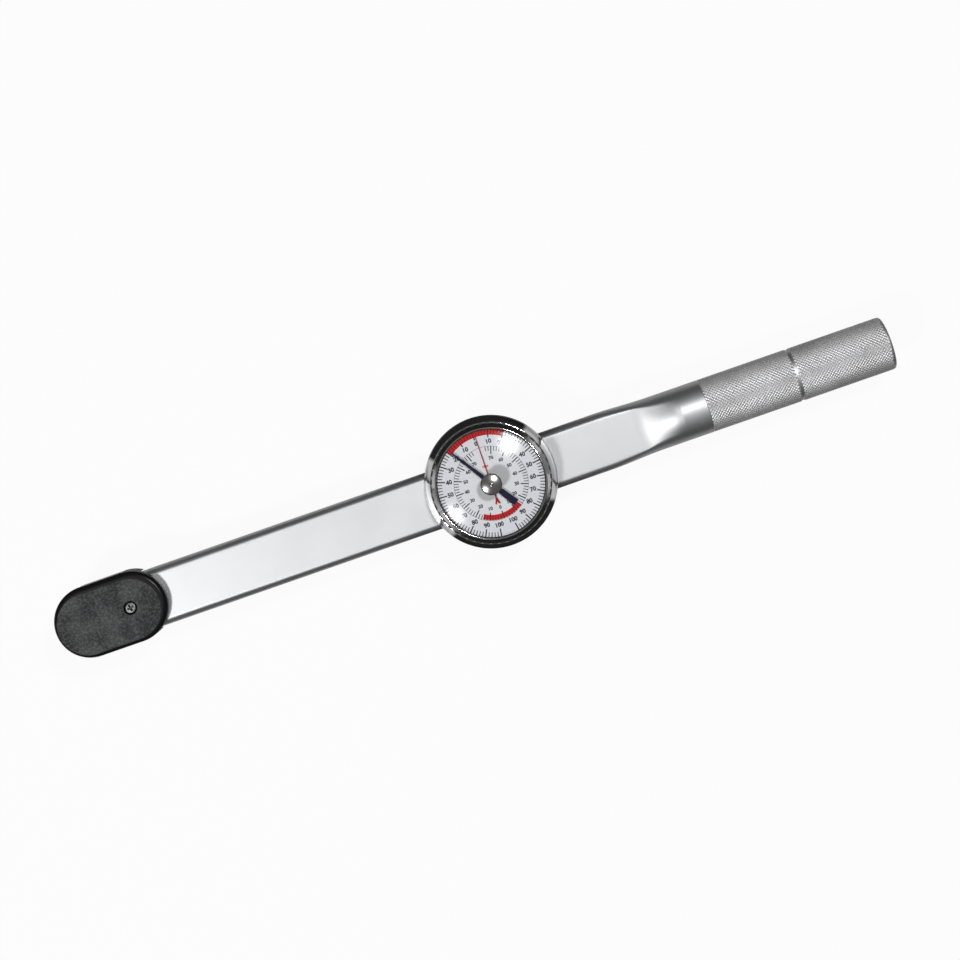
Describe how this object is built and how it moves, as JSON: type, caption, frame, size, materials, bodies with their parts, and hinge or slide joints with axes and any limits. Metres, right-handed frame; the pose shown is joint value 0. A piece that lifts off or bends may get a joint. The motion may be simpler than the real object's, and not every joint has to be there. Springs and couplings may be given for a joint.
{
  "type": "dial torque wrench",
  "caption": "Dial torque wrench with a square drive head, flat chromed tube, round dial gauge with live and memory pointers, and a knurled round handle.",
  "frame": {"origin": "on the axis of the square drive, in the shoulder that a socket seats against", "axes": "+X from the drive towards the handle, +Z out of the dial; the square drive points along -Z"},
  "size_m": [0.417, 0.0632, 0.0581],
  "materials": {
    "polished_tube": "bright chrome plate, brushed satin on the knurled handle",
    "polished_case": "bright chrome plate",
    "polished_bezel": "bright chrome plate",
    "polished_head": "satin chrome plate on a forging",
    "polished_knob": "bright chrome plate",
    "bright_steel": "ground steel",
    "spring_steel": "tempered spring steel",
    "screw_steel": "zinc-plated steel",
    "black_moulding": "moulded black plastic, fine-grained top, glossy edges",
    "bronze": "sintered bronze",
    "brass": "rolled brass",
    "hairspring_bronze": "phosphor bronze strip",
    "pointer_red": "red paint",
    "pointer_navy": "dark blue paint",
    "dial_white": "white dial, black and red print",
    "crystal": "clear moulded acrylic",
    "gasket_rubber": "black rubber",
    "washer_plastic": "nylon friction washer"
  },
  "bodies": {
    "frame": {"frame_tube": "polished_tube", "pivot_bushes": "bronze", "beam_saddle": "bright_steel", "saddle_screws": "screw_steel", "handle_plug": "black_moulding", "dial_case": "polished_case", "snap_ring": "spring_steel", "case_screws": "screw_steel", "movement_plate": "brass", "movement_pillars": "brass", "movement_bridge": "brass", "bridge_screws": "screw_steel", "hairspring_stud": "brass"},
    "head": {"drive_head": "polished_head", "pivot_pin": "bright_steel", "head_cap": "black_moulding", "cap_screw": "screw_steel", "flexure_beam": "spring_steel", "beam_pins": "bright_steel", "sensing_arm": "bright_steel", "arm_screws": "screw_steel", "arm_pin": "bright_steel", "detent_spring": "spring_steel"},
    "detent": {"detent_ball": "bright_steel"},
    "sector": {"sector_gear": "brass", "sector_arbor": "bright_steel"},
    "pointer": {"pinion": "bright_steel", "hairspring_collet": "brass", "hairspring": "hairspring_bronze", "live_pointer": "pointer_red"},
    "bezel": {"bezel_ring": "polished_bezel", "crystal": "crystal", "crystal_gasket": "gasket_rubber", "dial_face": "dial_white", "dial_retainer": "bright_steel"},
    "memory": {"memory_pointer": "pointer_navy", "memory_shaft": "bright_steel", "friction_washer": "washer_plastic", "memory_knob": "polished_knob"}
  },
  "joints": [
    {"name": "head_flex", "type": "hinge", "parent": "frame", "child": "head", "pos_m": [0.032, 0, 0.01025], "axis": [0, 0, 1], "range_deg": [-1.05, 1.05], "stiffness_Nm_per_rad": 4960, "deforming": ["flexure_beam"]},
    {"name": "sector_turn", "type": "hinge", "parent": "frame", "child": "sector", "pos_m": [0.1784, 0, 0.0227], "axis": [0, 0, 1], "range_deg": [-21, 21]},
    {"name": "pointer_turn", "type": "hinge", "parent": "frame", "child": "pointer", "pos_m": [0.2, 0, 0.03305], "axis": [0, 0, 1], "range_deg": [-168, 168], "deforming": ["hairspring"]},
    {"name": "bezel_turn", "type": "hinge", "parent": "frame", "child": "bezel", "pos_m": [0.2, 0, 0.03305], "axis": [0, 0, 1], "continuous": true},
    {"name": "memory_turn", "type": "hinge", "parent": "bezel", "child": "memory", "pos_m": [0.2, 0, 0.03875], "axis": [0, 0, 1], "continuous": true},
    {"name": "detent_press", "type": "slide", "parent": "head", "child": "detent", "axis": [0, 1, 0], "range_m": [0, 0.0009], "stiffness_N_per_m": 3000, "deforming": ["detent_spring"]}
  ],
  "couplings": [
    {"joint": "sector_turn", "follows": "head_flex", "ratio": 20},
    {"joint": "pointer_turn", "follows": "head_flex", "ratio": -160}
  ]
}
